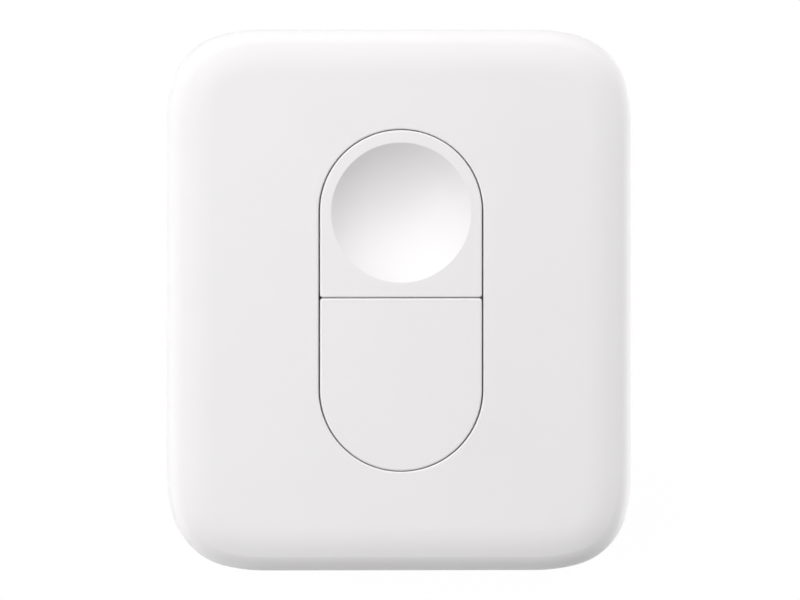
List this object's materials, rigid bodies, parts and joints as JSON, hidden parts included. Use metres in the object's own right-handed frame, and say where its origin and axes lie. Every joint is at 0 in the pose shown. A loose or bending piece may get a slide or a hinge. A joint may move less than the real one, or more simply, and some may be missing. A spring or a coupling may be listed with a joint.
{
  "type": "remote control",
  "caption": "Small soft-edged handheld remote with a pill-shaped opening, a dished upper button, a flat lower button and a coin cell under a snap-fit back cover.",
  "frame": {"origin": "centre of the flat back face", "axes": "+X to the right as the front is seen, +Y towards the dished button, +Z out of the front"},
  "size_m": [0.0368, 0.043, 0.012],
  "materials": {
    "case_plastic": "fine texture",
    "button_plastic": "fine texture",
    "inner_plastic": "plain moulded",
    "switch_plastic": "plain moulded",
    "foam": "closed-cell foam",
    "screw_steel": "zinc plated",
    "spring_steel": "nickel plated",
    "tin": "tinned",
    "cell_steel": "polished",
    "gasket_plastic": "smooth",
    "electrode": "pressed powder and foil",
    "board_laminate": "solder mask",
    "chip_plastic": "moulded epoxy",
    "part_ceramic": "fired",
    "resistor_ceramic": "glazed",
    "ferrite": "fired",
    "copper": "gold plated",
    "light_lens": "clear yellow",
    "clear_plastic": "clear moulded"
  },
  "bodies": {
    "cover": {"back_cover": "case_plastic", "battery_pad": "foam"},
    "housing": {"front_shell": "case_plastic", "guide_plate": "inner_plastic", "chassis": "inner_plastic", "screws": "screw_steel", "circuit_board": "board_laminate", "upper_switch_base": "switch_plastic", "upper_switch_terminals": "tin", "upper_switch_dome": "spring_steel", "upper_switch_cover": "spring_steel", "lower_switch_base": "switch_plastic", "lower_switch_terminals": "tin", "lower_switch_dome": "spring_steel", "lower_switch_cover": "spring_steel", "positive_contact": "spring_steel", "negative_contact": "spring_steel", "radio_chip": "chip_plastic", "radio_chip_leads": "tin", "crystal_base": "part_ceramic", "crystal_lid": "tin", "capacitors": "part_ceramic", "resistors": "resistor_ceramic", "inductor": "ferrite", "chip_part_ends": "tin", "antenna": "copper", "status_led": "light_lens", "light_pipe": "clear_plastic"},
    "coin_cell": {"cell_can": "cell_steel", "cell_gasket": "gasket_plastic", "cell_cap": "cell_steel", "cell_core": "electrode"},
    "upper_button": {"upper_button": "button_plastic"},
    "lower_button": {"lower_button": "button_plastic"},
    "upper_plunger": {"upper_switch_plunger": "switch_plastic"},
    "lower_plunger": {"lower_switch_plunger": "switch_plastic"}
  },
  "joints": [
    {"name": "housing_release", "type": "slide", "parent": "cover", "child": "housing", "axis": [0, 0, 1], "range_m": [0, 0.03]},
    {"name": "cell_lift", "type": "slide", "parent": "cover", "child": "coin_cell", "axis": [0, 0, 1], "range_m": [0, 0.015]},
    {"name": "upper_button_press", "type": "slide", "parent": "housing", "child": "upper_button", "axis": [0, 0, -1], "range_m": [0, 0.00025], "stiffness_N_per_m": 5000, "springref_m": -0.0001},
    {"name": "lower_button_press", "type": "slide", "parent": "housing", "child": "lower_button", "axis": [0, 0, -1], "range_m": [0, 0.00025], "stiffness_N_per_m": 5000, "springref_m": -0.0001},
    {"name": "upper_plunger_press", "type": "slide", "parent": "housing", "child": "upper_plunger", "axis": [0, 0, -1], "range_m": [0, 0.00025], "deforming": ["upper_switch_dome"]},
    {"name": "lower_plunger_press", "type": "slide", "parent": "housing", "child": "lower_plunger", "axis": [0, 0, -1], "range_m": [0, 0.00025], "deforming": ["lower_switch_dome"]}
  ],
  "couplings": [
    {"joint": "cell_lift", "follows": "housing_release", "ratio": 0.5},
    {"joint": "upper_plunger_press", "follows": "upper_button_press", "ratio": 1},
    {"joint": "lower_plunger_press", "follows": "lower_button_press", "ratio": 1}
  ]
}
